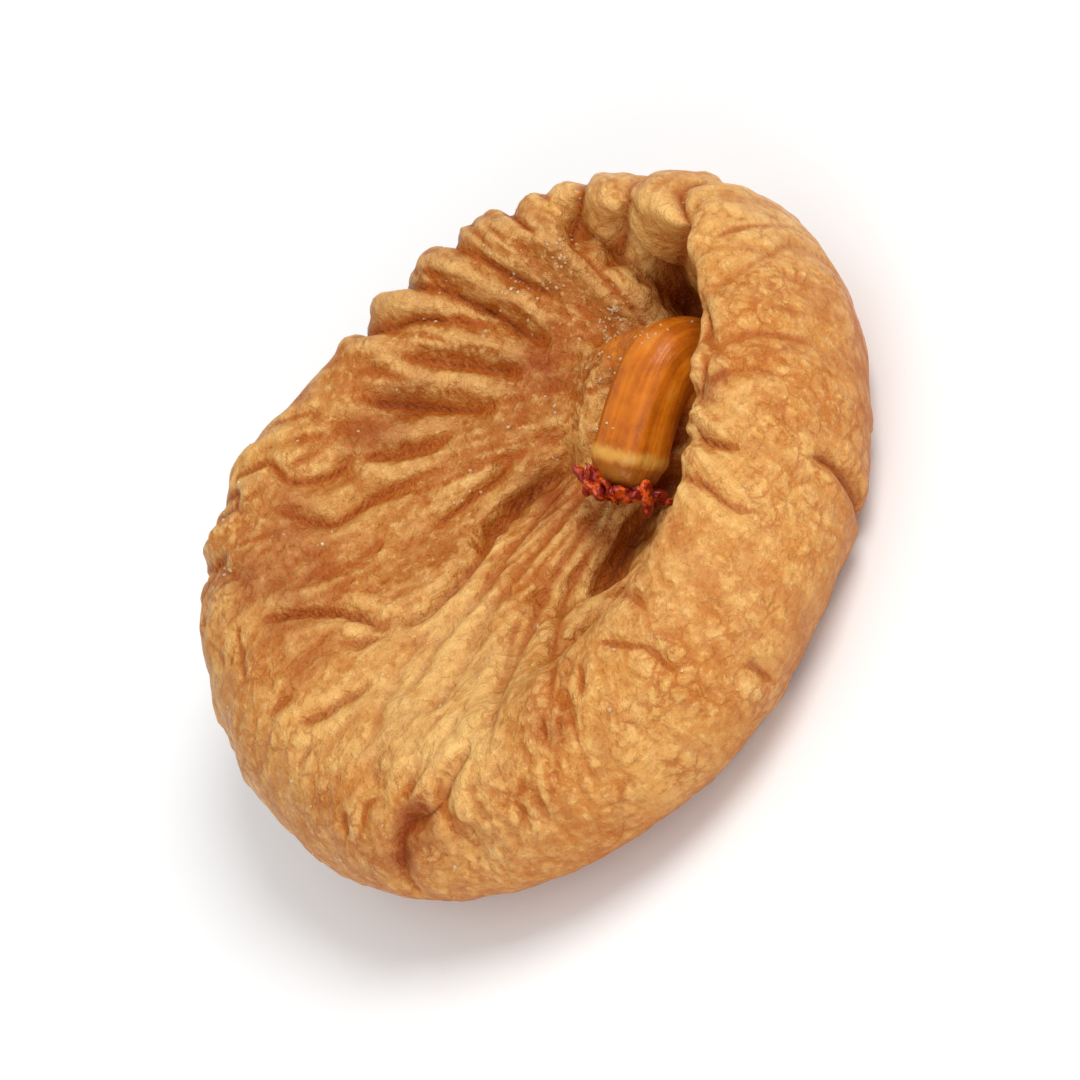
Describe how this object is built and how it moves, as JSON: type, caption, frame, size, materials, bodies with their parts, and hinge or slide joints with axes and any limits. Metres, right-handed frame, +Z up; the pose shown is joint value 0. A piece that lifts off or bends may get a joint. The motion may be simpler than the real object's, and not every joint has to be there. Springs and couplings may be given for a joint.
{
  "type": "dried fig",
  "caption": "Whole dried fig pressed into a soft flattened disc, with a fat rolled rim, radial skin folds round a bent stub of stalk, and an eye dimple underneath.",
  "frame": {"origin": "centre of the bounding box's underside, on the surface that the fig rests on", "axes": "+Z up through the flattened disc, from the eye side that rests on the surface towards the stalk side; +X along the disc's longest diameter, towards the side where the stalk leaves the skin; -Y towards the fattest part of the rolled rim"},
  "size_m": [0.0488, 0.0416, 0.0163],
  "materials": {
    "fig_skin": "supple dried fruit skin, tan to amber with darker creases, low waxy sheen, a little sugar bloom"
  },
  "bodies": {
    "root": {"dried_fig": "fig_skin"}
  },
  "joints": []
}
